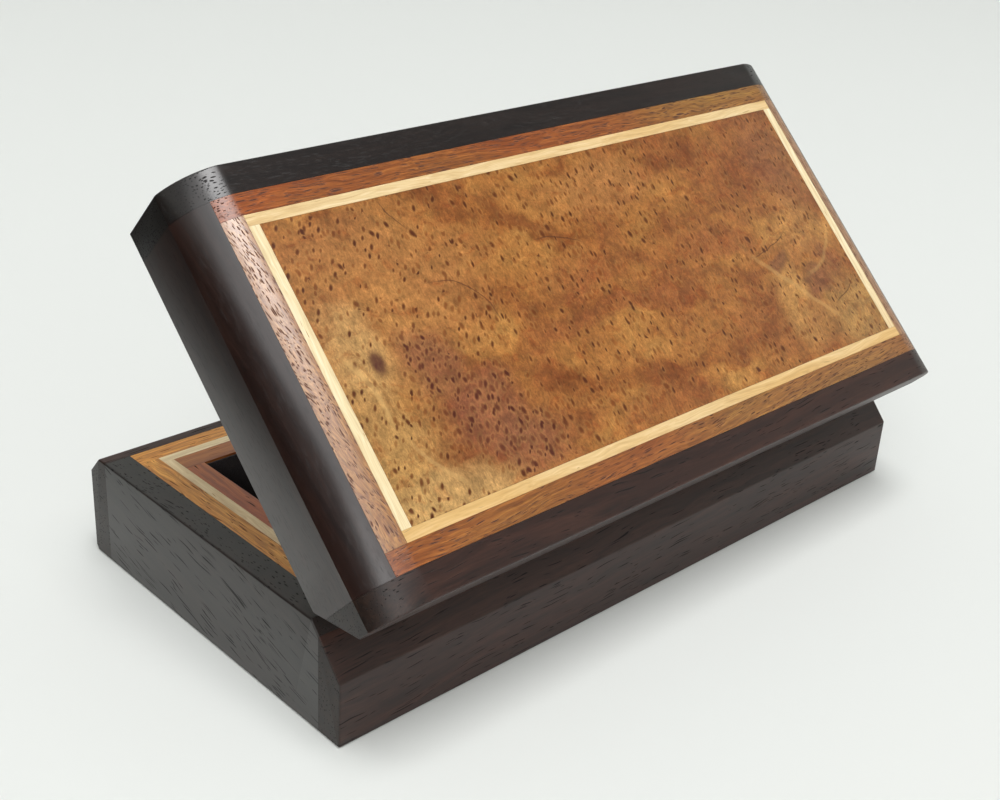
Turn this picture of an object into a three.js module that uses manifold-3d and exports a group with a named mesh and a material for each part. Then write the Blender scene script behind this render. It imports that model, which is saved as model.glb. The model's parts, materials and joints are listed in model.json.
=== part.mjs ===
// A hinged wooden money box: a low base with a well for banknotes and coins, and a thick lid.
// Both halves are framed in four courses of wood, each course two long strips with two end strips
// butted between them. Two brass butt hinges sit in the V that the back chamfers leave at the seam.
// Frame: millimetres, +Z up, +X along the length, the hinges at the back on +Y.
// The origin is the middle of the base's underside.
import * as THREE from "three";
import { mergeVertices } from "three/addons/utils/BufferGeometryUtils.js";
import Module from "manifold-3d";

// Overall sizes.
const LENGTH = 238;
const WIDTH = 121;
const BASE_HEIGHT = 32.9;
const LID_HEIGHT = 29.8;
const LID_GAP = 0.3; // between the two halves when the box is shut
const LID_OPEN = 43.6; // degrees that the lid stands open at rest

// Thickness of each course of the walls, long strips and end strips.
const SIDE_BOARD = 8.7;
const END_BOARD = 8.35;
const SIDE_BAND = 6.2;
const END_BAND = 5.85;
const LINE = 3.2;
const SIDE_INNER = 7;
const END_INNER = 6;
const GLUE = 0.05; // glue line between two glued pieces
const PANEL = 5; // bottom panel
const BURL = 9; // top panel of the lid
const FLOCK = 0.8; // flocked card lining
const LINING_DROP = 0.6; // how far the wall lining stops below the rim

// Edge shapes.
const CHAMFER_IN = 11.9; // back chamfers, measured in from the back
const BASE_CHAMFER_DROP = 13.4;
const LID_CHAMFER_RISE = 14.1;
const BEVEL_IN = 5; // finger bevel along the front of the base
const BEVEL_DROP = 5.6;
const FOOT_EASE = 1.5; // eased lower front edge of the base
const ROUND_RADIUS = 18.8; // rounded ends of the lid, from the pale line on the top
const ROUND_DROP = 10.6; // down to a point this far below the top on the end
const ARC_STEPS = 20;

// Hinges.
const HINGE_FROM_END = 43; // end of the box to the middle of a hinge
const HINGE_LENGTH = 32;
const KNUCKLES = 5;
const KNUCKLE_RADIUS = 2.1;
const KNUCKLE_GAP = 0.25; // between neighbouring knuckles
const KNUCKLE_ROOM = 0.35; // between a knuckle and the chamfer beside it
const LEAF_WIDTH = 11; // pin axis to the leaf's edge
const LEAF_THICK = 1.2;
const LEAF_GAP = 0.1; // leaf to its pocket in the wood
const PIN_RADIUS = 0.8;
const PIN_CLEARANCE = 0.06;

// Countersunk slotted screws.
const SCREW_SPACING = 19;
const SCREW_LENGTH = 9.5;
const SCREW_HEAD_RADIUS = 2.1;
const SCREW_RADIUS = 1.1;
const SCREW_HEAD_DEPTH = 1;
const SCREW_TIP = 2;
const SCREW_CLEARANCE = 0.12;
const SLOT = 0.5; // width and depth of the driver slot
const TURNED_SIDES = 24; // sides of turned screws
const ROD_SIDES = 32; // sides of pins and knuckles

// Places worked out from the sizes above.
// The pin axis lies in the seam's plane, as far behind the seam as lets the knuckles clear the
// flatter of the two chamfers.
const seamY = WIDTH / 2 - CHAMFER_IN;
const flatterChamfer = Math.atan2(Math.min(BASE_CHAMFER_DROP, LID_CHAMFER_RISE), CHAMFER_IN);
const axisSpace = KNUCKLE_RADIUS + KNUCKLE_ROOM - (LID_GAP / 2) * Math.cos(flatterChamfer);
const axisBack = axisSpace / Math.sin(flatterChamfer);
const axisY = seamY + axisBack;
const axisZ = BASE_HEIGHT + LID_GAP / 2;
const roundIn = END_BOARD + END_BAND;
const hingeX = LENGTH / 2 - HINGE_FROM_END;

const wasm = await Module();
wasm.setup();

const wood = (color, roughness) =>
  new THREE.MeshStandardMaterial({ color, roughness, metalness: 0 });
const materials = {
  dark: wood(0x33271f, 0.42),
  band: wood(0xa9693c, 0.42),
  line: wood(0xe4cd97, 0.45),
  inner: wood(0x8a4a2b, 0.45),
  burl: wood(0x9f6638, 0.38),
  bottom: wood(0x6b4a34, 0.6),
  flock: wood(0x0a090a, 0.95),
  brass: new THREE.MeshStandardMaterial({
    color: 0xb8954d,
    roughness: 0.35,
    metalness: 1,
  }),
};

const box = new THREE.Group();
const base = new THREE.Group();
const lid = new THREE.Group();
const lidShut = new THREE.Group(); // the lid's pieces as they lie when shut, underside at z = 0
lid.position.set(0, axisY, axisZ);
lid.rotation.x = -THREE.MathUtils.degToRad(LID_OPEN);
lidShut.position.set(0, -axisY, BASE_HEIGHT + LID_GAP - axisZ);
lid.add(lidShut);
box.add(base, lid);

// ---- Geometry helpers ----

function addPiece(group, name, material, geometry) {
  const piece = new THREE.Mesh(geometry, material);
  piece.name = name;
  group.add(piece);
}

// A closed geometry as a solid for cutting and joining.
function solidOf(geometry) {
  const bare = geometry.clone();
  bare.deleteAttribute("normal");
  bare.deleteAttribute("uv");
  const merged = mergeVertices(bare, 1e-4);
  return new wasm.Manifold(
    new wasm.Mesh({
      numProp: 3,
      vertProperties: merged.attributes.position.array,
      triVerts: new Uint32Array(merged.index.array),
    }),
  );
}

function geometryOf(solid) {
  const mesh = solid.getMesh();
  const geometry = new THREE.BufferGeometry();
  const points = new THREE.BufferAttribute(mesh.vertProperties, mesh.numProp);
  geometry.setAttribute("position", points);
  geometry.setIndex(new THREE.BufferAttribute(mesh.triVerts, 1));
  const faceted = geometry.toNonIndexed();
  faceted.computeVertexNormals();
  return faceted;
}

const cut = (solid, tools) => tools.reduce((left, tool) => left.subtract(tool), solid);

// The part of a convex outline whose coordinate number `axis` lies between low and high.
function clip(outline, axis, low, high) {
  const keep = (points, inside, limit) =>
    points.flatMap((point, i) => {
      const next = points[(i + 1) % points.length];
      const kept = inside(point[axis]) ? [point] : [];
      if (inside(point[axis]) === inside(next[axis])) return kept;
      const t = (limit - point[axis]) / (next[axis] - point[axis]);
      const crossing = point.map((value, k) => value + t * (next[k] - value));
      crossing[axis] = limit;
      return [...kept, crossing];
    });
  const above = keep(outline, (value) => value > low, low);
  return keep(above, (value) => value < high, high);
}

function extrude(outline, depth) {
  const shape = new THREE.Shape(outline.map(([u, v]) => new THREE.Vector2(u, v)));
  return new THREE.ExtrudeGeometry(shape, { depth, bevelEnabled: false });
}

// A (y, z) outline carried along X from x0 to x1.
function alongX(outline, x0, x1) {
  const turn = new THREE.Matrix4().makeBasis(
    new THREE.Vector3(0, 1, 0),
    new THREE.Vector3(0, 0, 1),
    new THREE.Vector3(1, 0, 0),
  );
  return extrude(outline, x1 - x0).applyMatrix4(turn).translate(x0, 0, 0);
}

// An (x, z) outline carried along Y from y0 to y1.
function alongY(outline, y0, y1) {
  const turned = extrude(outline, y1 - y0).rotateX(Math.PI / 2);
  return turned.translate(0, y1, 0);
}

const rectangle = (u0, v0, u1, v1) => [
  [u0, v0],
  [u1, v0],
  [u1, v1],
  [u0, v1],
];

const block = (x0, x1, y0, y1, z0, z1) => alongX(rectangle(y0, z0, y1, z1), x0, x1);

function rodAlongX(radius, x0, x1, y, z) {
  const rod = new THREE.CylinderGeometry(radius, radius, x1 - x0, ROD_SIDES);
  return rod.rotateZ(Math.PI / 2).translate((x0 + x1) / 2, y, z);
}

// ---- Cross-sections of the two halves, (y, z) outlines from front to back ----

const baseSection = [
  [-WIDTH / 2 + FOOT_EASE, 0],
  [WIDTH / 2, 0],
  [WIDTH / 2, BASE_HEIGHT - BASE_CHAMFER_DROP],
  [seamY, BASE_HEIGHT],
  [-WIDTH / 2 + BEVEL_IN, BASE_HEIGHT],
  [-WIDTH / 2, BASE_HEIGHT - BEVEL_DROP],
  [-WIDTH / 2, FOOT_EASE],
];

const lidSection = [
  [-WIDTH / 2, 0],
  [seamY, 0],
  [WIDTH / 2, LID_CHAMFER_RISE],
  [WIDTH / 2, LID_HEIGHT],
  [-WIDTH / 2, LID_HEIGHT],
];

// The lid seen from the front, an (x, z) outline: each top corner is an arc of ROUND_RADIUS from the
// flat of the end up to the start of the rounding on the top.
function lidFrontOutline() {
  const low = new THREE.Vector2(LENGTH / 2, LID_HEIGHT - ROUND_DROP);
  const high = new THREE.Vector2(LENGTH / 2 - roundIn, LID_HEIGHT);
  const chord = high.clone().sub(low);
  const inward = new THREE.Vector2(-chord.y, chord.x).normalize();
  const reach = Math.sqrt(ROUND_RADIUS ** 2 - chord.lengthSq() / 4);
  const centre = low.clone().add(high).multiplyScalar(0.5).addScaledVector(inward, reach);
  const from = low.clone().sub(centre).angle();
  const to = high.clone().sub(centre).angle();
  const arc = Array.from({ length: ARC_STEPS + 1 }, (_, i) => {
    const angle = from + ((to - from) * i) / ARC_STEPS;
    return [
      centre.x + ROUND_RADIUS * Math.cos(angle),
      centre.y + ROUND_RADIUS * Math.sin(angle),
    ];
  });
  const mirrored = arc.map(([x, z]) => [-x, z]).reverse();
  return [[-LENGTH / 2, 0], [LENGTH / 2, 0], ...arc, ...mirrored];
}

const lidEnvelope = solidOf(alongY(lidFrontOutline(), -WIDTH, WIDTH));

// ---- Courses of the walls, from the outside in ----

const courses = [
  { name: "board", material: materials.dark, side: SIDE_BOARD, end: END_BOARD },
  { name: "band", material: materials.band, side: SIDE_BAND, end: END_BAND },
  { name: "line", material: materials.line, side: LINE, end: LINE },
  { name: "inner_band", material: materials.inner, side: SIDE_INNER, end: END_INNER },
];
let sideInset = 0;
let endInset = 0;
courses.forEach((course, i) => {
  const glue = i ? GLUE : 0;
  course.halfWidth = WIDTH / 2 - sideInset - glue;
  course.halfLength = LENGTH / 2 - endInset - glue;
  sideInset += course.side;
  endInset += course.end;
  course.innerHalfWidth = WIDTH / 2 - sideInset;
  course.innerHalfLength = LENGTH / 2 - endInset;
});
const [boards, , lines, inners] = courses;

// The four strips of one course of one half: its long strips run its full length, and its end strips
// stand between them. `finish` cuts a strip's blank to its final shape.
function addCourse(group, half, course, section, z0, z1, finish) {
  const { halfWidth, halfLength, innerHalfWidth, innerHalfLength } = course;
  const slice = clip(section, 1, z0, z1);
  const long = [
    ["front", -halfWidth, -innerHalfWidth],
    ["back", innerHalfWidth, halfWidth],
  ];
  for (const [place, y0, y1] of long) {
    const blank = solidOf(alongX(clip(slice, 0, y0, y1), -halfLength, halfLength));
    const name = `${half}_${place}_${course.name}`;
    addPiece(group, name, course.material, geometryOf(finish(blank)));
  }
  const short = clip(slice, 0, -innerHalfWidth + GLUE, innerHalfWidth - GLUE);
  const ends = [
    ["left", -halfLength, -innerHalfLength],
    ["right", innerHalfLength, halfLength],
  ];
  for (const [place, x0, x1] of ends) {
    const name = `${half}_${place}_${course.name}`;
    addPiece(group, name, course.material, geometryOf(finish(solidOf(alongX(short, x0, x1)))));
  }
}

// ---- Hinges and screws ----
// A leaf is drawn about the pin axis as it lies on the base, its plate towards -Y and its wood side
// down. The lid's leaf is the same drawing turned over.

const knuckleLength = (HINGE_LENGTH - (KNUCKLES - 1) * KNUCKLE_GAP) / KNUCKLES;
const plateEdge = -KNUCKLE_RADIUS - KNUCKLE_GAP; // short of the other leaf's knuckles
const leafTop = -LID_GAP / 2; // the leaf lies flush with the wood's face, below the pin axis
const screwY = (plateEdge - LEAF_WIDTH) / 2;

function screwSolid(growth) {
  const radius = SCREW_RADIUS + growth;
  const head = SCREW_HEAD_RADIUS + growth;
  const top = growth ? SCREW_LENGTH : 0; // a hole's cutter runs on out of the wood
  const profile = [
    [0, -SCREW_LENGTH - growth],
    [radius, -SCREW_LENGTH + SCREW_TIP - growth],
    [radius, -SCREW_HEAD_DEPTH - growth],
    [head, -growth],
    [head, top],
    [0, top],
  ].filter(([r, z], i, all) => !i || r !== all[i - 1][0] || z !== all[i - 1][1]);
  const points = profile.map(([r, z]) => new THREE.Vector2(r, z));
  return solidOf(new THREE.LatheGeometry(points, TURNED_SIDES).rotateX(Math.PI / 2));
}

// Screw places and the leaf itself, about the pin axis, with y across the leaf.
const screwPlaces = [-SCREW_SPACING / 2, SCREW_SPACING / 2].map((x) => [
  x,
  screwY,
  leafTop - LEAF_GAP,
]);
const screwHoles = screwPlaces.map((place) => screwSolid(SCREW_CLEARANCE).translate(place));

function leafSolid(parity) {
  const plateY = [-LEAF_WIDTH, plateEdge];
  const half = HINGE_LENGTH / 2;
  const plate = block(-half, half, ...plateY, leafTop - LEAF_THICK, leafTop);
  let leaf = solidOf(plate);
  for (let i = parity; i < KNUCKLES; i += 2) {
    const x0 = -half + i * (knuckleLength + KNUCKLE_GAP);
    const x1 = x0 + knuckleLength;
    const tab = block(x0, x1, plateEdge - LEAF_GAP, 0, leafTop - LEAF_THICK, leafTop);
    leaf = leaf.add(solidOf(tab)).add(solidOf(rodAlongX(KNUCKLE_RADIUS, x0, x1, 0, 0)));
  }
  const bore = rodAlongX(PIN_RADIUS + PIN_CLEARANCE, -HINGE_LENGTH, HINGE_LENGTH, 0, 0);
  return cut(leaf, [solidOf(bore), ...screwHoles]);
}

// The pocket that a leaf drops into, open at the seam.
const pocket = solidOf(
  block(
    -HINGE_LENGTH / 2 - LEAF_GAP,
    HINGE_LENGTH / 2 + LEAF_GAP,
    -LEAF_WIDTH - LEAF_GAP,
    axisBack,
    leafTop - LEAF_THICK - LEAF_GAP,
    KNUCKLE_RADIUS,
  ),
);

// Turned over about X, the base's drawing becomes the lid's.
const turnOver = (solid) => solid.scale([1, 1, -1]);
const hinges = [
  { place: "left", x: -hingeX },
  { place: "right", x: hingeX },
];
const baseCuts = hinges.flatMap(({ x }) =>
  [pocket, ...screwHoles].map((tool) => tool.translate([x, axisY, axisZ])),
);
const lidAxisZ = axisZ - BASE_HEIGHT - LID_GAP; // the pin axis above the shut lid's underside
const lidCuts = hinges.flatMap(({ x }) =>
  [pocket, ...screwHoles].map((tool) => turnOver(tool).translate([x, axisY, lidAxisZ])),
);

// ---- Base ----

const finishBase = (blank) => cut(blank, baseCuts);
courses.forEach((course, i) => {
  const bottom = i ? PANEL + GLUE : 0;
  addCourse(base, "base", course, baseSection, bottom, BASE_HEIGHT, finishBase);
});

const panelHalf = [boards.innerHalfLength - GLUE, boards.innerHalfWidth - GLUE];
addPiece(
  base,
  "base_bottom_panel",
  materials.bottom,
  block(-panelHalf[0], panelHalf[0], -panelHalf[1], panelHalf[1], 0, PANEL),
);

// ---- Lid ----

const finishLid = (blank) => cut(blank.intersect(lidEnvelope), lidCuts);
const burlSeat = LID_HEIGHT - BURL;
courses.forEach((course) => {
  const top = course === inners ? burlSeat - GLUE : LID_HEIGHT;
  addCourse(lidShut, "lid", course, lidSection, 0, top, finishLid);
});

const burlHalf = [lines.innerHalfLength - GLUE, lines.innerHalfWidth - GLUE];
addPiece(
  lidShut,
  "lid_burl_panel",
  materials.burl,
  block(-burlHalf[0], burlHalf[0], -burlHalf[1], burlHalf[1], burlSeat, LID_HEIGHT),
);

// ---- Flocked lining: a floor and four walls in the base, one sheet under the lid's panel ----

const wellX = inners.innerHalfLength - GLUE;
const wellY = inners.innerHalfWidth - GLUE;
const floorTop = PANEL + GLUE + FLOCK;
const liningTop = BASE_HEIGHT - LINING_DROP;
const wallX = wellX - FLOCK;
const wallY = wellY - FLOCK;
const wallFoot = floorTop + GLUE;
const linings = [
  [base, "base_floor_lining", -wellX, wellX, -wellY, wellY, PANEL + GLUE, floorTop],
  [base, "base_front_lining", -wellX, wellX, -wellY, -wallY, wallFoot, liningTop],
  [base, "base_back_lining", -wellX, wellX, wallY, wellY, wallFoot, liningTop],
  [base, "base_left_lining", -wellX, -wallX, -wallY + GLUE, wallY - GLUE, wallFoot, liningTop],
  [base, "base_right_lining", wallX, wellX, -wallY + GLUE, wallY - GLUE, wallFoot, liningTop],
  [lidShut, "lid_lining", -wellX, wellX, -wellY, wellY, burlSeat - GLUE - FLOCK, burlSeat - GLUE],
];
for (const [group, name, ...sizes] of linings) {
  addPiece(group, name, materials.flock, block(...sizes));
}

// ---- Hinges: a leaf on each half, the pin held by the base's leaf, two screws in each leaf ----

const driverSlot = solidOf(
  block(-SCREW_HEAD_RADIUS, SCREW_HEAD_RADIUS, -SLOT / 2, SLOT / 2, -SLOT, SLOT),
);
const screw = screwSolid(0).subtract(driverSlot);
for (const { place, x } of hinges) {
  const onBase = (solid) => geometryOf(solid.translate([x, axisY, axisZ]));
  const onLid = (solid) => geometryOf(turnOver(solid).translate([x, axisY, lidAxisZ]));
  addPiece(base, `hinge_${place}_base_leaf`, materials.brass, onBase(leafSolid(0)));
  addPiece(lidShut, `hinge_${place}_lid_leaf`, materials.brass, onLid(leafSolid(1)));
  const halfPin = HINGE_LENGTH / 2;
  const pin = solidOf(rodAlongX(PIN_RADIUS, -halfPin, halfPin, 0, 0));
  addPiece(base, `hinge_${place}_pin`, materials.brass, onBase(pin));
  screwPlaces.forEach((where, i) => {
    const placed = screw.translate(where);
    addPiece(base, `hinge_${place}_base_screw_${i + 1}`, materials.brass, onBase(placed));
    addPiece(lidShut, `hinge_${place}_lid_screw_${i + 1}`, materials.brass, onLid(placed));
  });
}

export default box;
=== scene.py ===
import json
import math

import bpy
import numpy as np
from mathutils import Matrix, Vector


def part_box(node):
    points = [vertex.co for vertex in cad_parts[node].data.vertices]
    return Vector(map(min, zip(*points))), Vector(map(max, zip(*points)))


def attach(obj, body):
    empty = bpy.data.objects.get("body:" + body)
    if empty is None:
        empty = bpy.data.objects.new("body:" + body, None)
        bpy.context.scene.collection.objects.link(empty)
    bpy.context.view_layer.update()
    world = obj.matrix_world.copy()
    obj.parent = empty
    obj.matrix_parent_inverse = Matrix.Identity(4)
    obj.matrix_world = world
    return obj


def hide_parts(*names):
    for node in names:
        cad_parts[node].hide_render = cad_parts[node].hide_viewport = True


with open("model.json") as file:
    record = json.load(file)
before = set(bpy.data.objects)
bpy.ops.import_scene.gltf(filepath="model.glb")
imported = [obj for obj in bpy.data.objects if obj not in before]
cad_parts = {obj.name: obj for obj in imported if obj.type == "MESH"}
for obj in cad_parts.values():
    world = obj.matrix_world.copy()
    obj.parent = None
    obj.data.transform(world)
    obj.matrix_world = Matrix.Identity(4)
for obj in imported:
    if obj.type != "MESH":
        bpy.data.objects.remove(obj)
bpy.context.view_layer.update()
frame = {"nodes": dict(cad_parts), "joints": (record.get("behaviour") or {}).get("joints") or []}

# ---- Dark boards ----
# Four boards of a near-black, coarse-pored hardwood stand on edge round each half of the box. The
# front and back boards run the full length and the end boards are butted between them. They are
# planed, chamfered along the back, rounded at the lid's ends, sanded and oiled.

hinge = frame["joints"][0]
axis_y, axis_z = hinge["pos_m"][1:]
lid_open = math.radians(-hinge["range_deg"][0])

seam_gap = 0.0003  # between the halves when shut
chamfer_in = 0.0119  # back chamfers, in from the back
base_chamfer_drop = 0.0134
lid_chamfer_rise = 0.0141
bevel_in = 0.005  # finger bevel along the front of the base
bevel_drop = 0.0056
foot_ease = 0.0015  # eased lower front edge of the base
round_radius = 0.0188  # rounded ends of the lid
round_drop = 0.0106
arris = 0.0005  # radius that the sharp edges are sanded to
glue_gap = 0.00005  # between glued pieces
whisker = 1e-6  # between the two stations of a step
slack = 1e-9  # for comparing lengths
round_steps = 24


def lay(half, points):
    """Points of a half as it lies when the box is shut. The base's stay as they are. The lid's turn
    about the pin axis by the angle that it stands open, and its underside comes to zero height."""
    if half == "base":
        return points
    y = points[..., 1] - axis_y
    z = points[..., 2] - axis_z
    c, s = math.cos(lid_open), math.sin(lid_open)
    return np.stack([points[..., 0], axis_y + c * y - s * z, s * y + c * z - seam_gap / 2], -1)


def stand(half, points):
    """The turn back from lay(): points of the shut box to where they are with the lid open."""
    if half == "base":
        return points
    y = points[..., 1] - axis_y
    z = points[..., 2] + seam_gap / 2
    c, s = math.cos(lid_open), math.sin(lid_open)
    return np.stack([points[..., 0], axis_y + c * y + s * z, axis_z - s * y + c * z], -1)


def shut_box(node):
    """Lowest and highest corner of a CAD node as it lies when the box is shut."""
    mesh = frame["nodes"][node].data
    points = np.empty(len(mesh.vertices) * 3, np.float32)
    mesh.vertices.foreach_get("co", points)
    points = lay(node.split("_")[0], points.reshape(-1, 3).astype(float))
    return points.min(0), points.max(0)


def rounded(corners, radii, steps=4):
    """A convex outline with an arc in place of each corner. An arc's centre lies on the corner's
    bisector at radius / sin(half angle), and the arc turns from one side's normal to the next's."""
    p = np.asarray(corners, float)
    to_last = np.roll(p, 1, 0) - p
    to_next = np.roll(p, -1, 0) - p
    to_last /= np.linalg.norm(to_last, axis=1)[:, None]
    to_next /= np.linalg.norm(to_next, axis=1)[:, None]
    inward = to_last + to_next
    inward /= np.linalg.norm(inward, axis=1)[:, None]
    half = np.arccos((to_last * inward).sum(1))
    r = np.asarray(radii, float)
    centre = p + inward * (r / np.sin(half))[:, None]
    turn = (math.pi / 2 - half)[:, None] * np.linspace(-1, 1, steps + 1)
    side = np.stack([inward[:, 1], -inward[:, 0]], -1)
    arc = -inward[:, None] * np.cos(turn)[..., None] + side[:, None] * np.sin(turn)[..., None]
    outline = (centre[:, None] + arc * r[:, None, None]).reshape(-1, 2)
    return outline[np.linalg.norm(outline - np.roll(outline, 1, 0), axis=1) > whisker]


def with_points_at(outline, limits):
    """An outline with a point added wherever a side crosses one of the given values of y."""
    upright = 1e-12  # a side that runs less than this along y is crossed nowhere
    for limit in limits:
        ahead = np.roll(outline, -1, 0) - outline
        run = np.where(np.abs(ahead[:, 0]) < upright, upright, ahead[:, 0])
        t = (limit - outline[:, 0]) / run
        crossed = np.where((t > whisker) & (t < 1 - whisker))[0]
        outline = np.insert(outline, crossed + 1, (outline + t[:, None] * ahead)[crossed], 0)
    return outline


def between(outline, low, high):
    """The part of a convex outline from y = low to y = high."""
    outline = with_points_at(outline, (low, high))
    return outline[(outline[:, 0] > low - slack) & (outline[:, 0] < high + slack)]


half_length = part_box("base_front_board")[1].x
half_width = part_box("base_back_board")[1].y
base_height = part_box("base_front_board")[1].z
lid_height = shut_box("lid_front_board")[1][2]
seam_y = half_width - chamfer_in

# Each half's (y, z) outline, anticlockwise from its lower front corner, and the radius of each corner.
sections = {
    "base": rounded(
        [
            (-half_width + foot_ease, 0),
            (half_width, 0),
            (half_width, base_height - base_chamfer_drop),
            (seam_y, base_height),
            (-half_width + bevel_in, base_height),
            (-half_width, base_height - bevel_drop),
            (-half_width, foot_ease),
        ],
        [arris, arris, arris * 2, arris, arris, arris, arris],
    ),
    "lid": rounded(
        [
            (-half_width, 0),
            (seam_y, 0),
            (half_width, lid_chamfer_rise),
            (half_width, lid_height),
            (-half_width, lid_height),
        ],
        [arris, arris, arris / 3, arris, arris],
    ),
}
heights = {"base": base_height, "lid": lid_height}

# The lid's rounded end as (x, drop below the top): an arc through the start of the rounding on the top
# and a point on the end face, its centre on the chord's bisector.
round_in = half_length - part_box("lid_back_line")[1].x - glue_gap
low = np.array([half_length, -round_drop])
high = np.array([half_length - round_in, 0.0])
chord = high - low
inward = np.array([-chord[1], chord[0]]) / np.linalg.norm(chord)
centre = (low + high) / 2 + inward * math.sqrt(round_radius**2 - chord @ chord / 4)
angles = np.linspace(
    math.atan2(*(high - centre)[::-1]), math.atan2(*(low - centre)[::-1]), round_steps + 1
)
round_x = centre[0] + round_radius * np.cos(angles)
round_fall = -centre[1] - round_radius * np.sin(angles)

# The eased edge of an end face as (x, how far the outline has drawn in): a quarter circle.
quarter = np.linspace(0, math.pi / 2, 5)
ease_x = half_length - arris + arris * np.sin(quarter)
ease_in = arris - arris * np.cos(quarter)

# Pockets that the hinge leaves drop into: their ends, front edge and floor.
leaf_low, leaf_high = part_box("hinge_right_base_leaf")
leaf_fit = 0.0001
pocket_x = np.array([leaf_low.x - leaf_fit, leaf_high.x + leaf_fit])
pocket_y = leaf_low.y - leaf_fit
pocket_depth = 0.00145

# Where along a strip its section may change: the middle, both sides of each pocket end, the rounding,
# and the eased edge. One more just before the rounding keeps the flat top flat.
flat_margin = 0.001
stations = np.concatenate(
    [
        [0.0],
        pocket_x - whisker,
        pocket_x + whisker,
        round_x,
        round_x[:1] - flat_margin,
        ease_x,
    ]
)
stations = np.unique(np.concatenate([-stations, stations]))

sharp_angle = math.radians(12)  # edges that turn more than this are drawn sharp
log_step = np.array([0.43, 0.09, 0.05])  # each strip is cut this much further into its log


def skin(name, rings, grain):
    """A closed mesh from a grid of points, one ring of the outline for each station along the piece,
    with a flat face over each end. `grain` is the same grid in the wood's own lay, along the grain,
    across it, and up."""
    count, around = rings.shape[:2]
    i = np.arange(count - 1)[:, None] * around
    j = np.arange(around)
    k = (j + 1) % around
    quads = np.stack([i + j, i + k, i + around + k, i + around + j], -1).reshape(-1, 4)
    ends = [j[::-1].tolist(), (j + (count - 1) * around).tolist()]
    mesh = bpy.data.meshes.new(name)
    mesh.from_pydata(rings.reshape(-1, 3), [], quads.tolist() + ends)
    own = mesh.attributes.new("grain", "FLOAT_VECTOR", "POINT")
    own.data.foreach_set("vector", grain.astype(np.float32).ravel())
    mesh.shade_smooth()
    mesh.set_sharp_from_angle(angle=sharp_angle)
    made = bpy.data.objects.new(name, mesh)
    bpy.context.scene.collection.objects.link(made)
    return made


def strip(node, material, seed, tone=(0.5, 0.5), slant=(0.0, 0.0)):
    """One strip of a half, shaped inside its CAD node's limits. The half's outline is cut to the
    strip's width and carried along X. At each station its top comes down by the rounded end or by the
    eased edge, its foot comes up by the eased edge, and what lies in a hinge pocket stops at its floor.
    `tone` runs from the box's far end to its near end. `slant` is how far the grain runs out of the
    strip, across and up, per unit of length."""
    half, place = node.split("_")[:2]
    low, high = shut_box(node)
    outline = between(sections[half], low[1], high[1])
    outline = with_points_at(outline, (pocket_y - whisker, pocket_y + whisker))
    inside = stations[(stations > low[0] + 10 * whisker) & (stations < high[0] - 10 * whisker)]
    x = np.concatenate([[low[0]], inside, [high[0]]])[:, None]
    eased = np.interp(np.abs(x), ease_x, ease_in)
    fall = np.interp(np.abs(x), round_x, round_fall) if half == "lid" else eased
    y, z = outline[:, 0], outline[:, 1]
    upper = z > heights[half] / 2
    height = z - np.where(upper, fall, 0) + np.where(upper, 0, eased)
    side = np.clip(y + 0 * x, -half_width + eased, half_width - eased)
    in_pocket = (np.abs(x) > pocket_x[0]) & (np.abs(x) < pocket_x[1]) & (y > pocket_y)
    if half == "base":
        height = np.where(in_pocket, np.minimum(height, base_height - pocket_depth), height)
    else:
        height = np.where(in_pocket, np.maximum(height, pocket_depth), height)
    height = np.clip(height, low[2], high[2])
    shut = np.stack([x + 0 * height, side, height], -1)
    long = place in ("front", "back")
    grain = shut[..., [0, 1, 2] if long else [1, 0, 2]]
    grain = grain + grain[..., :1] * np.array([0, *slant]) + log_step * seed
    piece = skin(node + "_oiled", stand(half, shut), grain)
    tones = np.interp(x, (-half_length, half_length), tone)
    for label, value in (("end_on", float(long)), ("tone", tones)):
        own = piece.data.attributes.new(label, "FLOAT", "POINT")
        own.data.foreach_set("value", (value + 0 * height).astype(np.float32).ravel())
    piece.data.materials.append(material)
    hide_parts(node)
    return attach(piece, half)


def colour(hex_code):
    """An sRGB hex value as linear red, green, blue and alpha."""
    s = np.array([int(hex_code[i : i + 2], 16) for i in (1, 3, 5)]) / 255
    linear = np.where(s <= 0.04045, s / 12.92, ((s + 0.055) / 1.055) ** 2.4)
    return (*linear.tolist(), 1.0)


def add(tree, kind, inputs=None, **settings):
    """Adds one node with its settings. An input's value is a number, a colour, a socket to link, or a
    node, whose first live output is linked."""
    node = tree.nodes.new("ShaderNode" + kind)
    for key, value in settings.items():
        setattr(node, key, value)
    for key, value in (inputs or {}).items():
        if isinstance(value, bpy.types.Node):
            value = next(output for output in value.outputs if output.enabled)
        if isinstance(value, bpy.types.NodeSocket):
            tree.links.new(value, node.inputs[key])
        else:
            node.inputs[key].default_value = value
    return node


def new_material(name):
    """An empty material and its node tree."""
    material = bpy.data.materials.new(name)
    material.use_nodes = True
    material.node_tree.nodes.clear()
    return material, material.node_tree


def set_stops(ramp, stops):
    """Gives a colour ramp its (position, hex colour) stops in place of the two it starts with."""
    elements = ramp.color_ramp.elements
    for at, tone in stops:
        elements.new(float(at)).color = colour(tone)
    elements.remove(elements[0])
    elements.remove(elements[-1])


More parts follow.
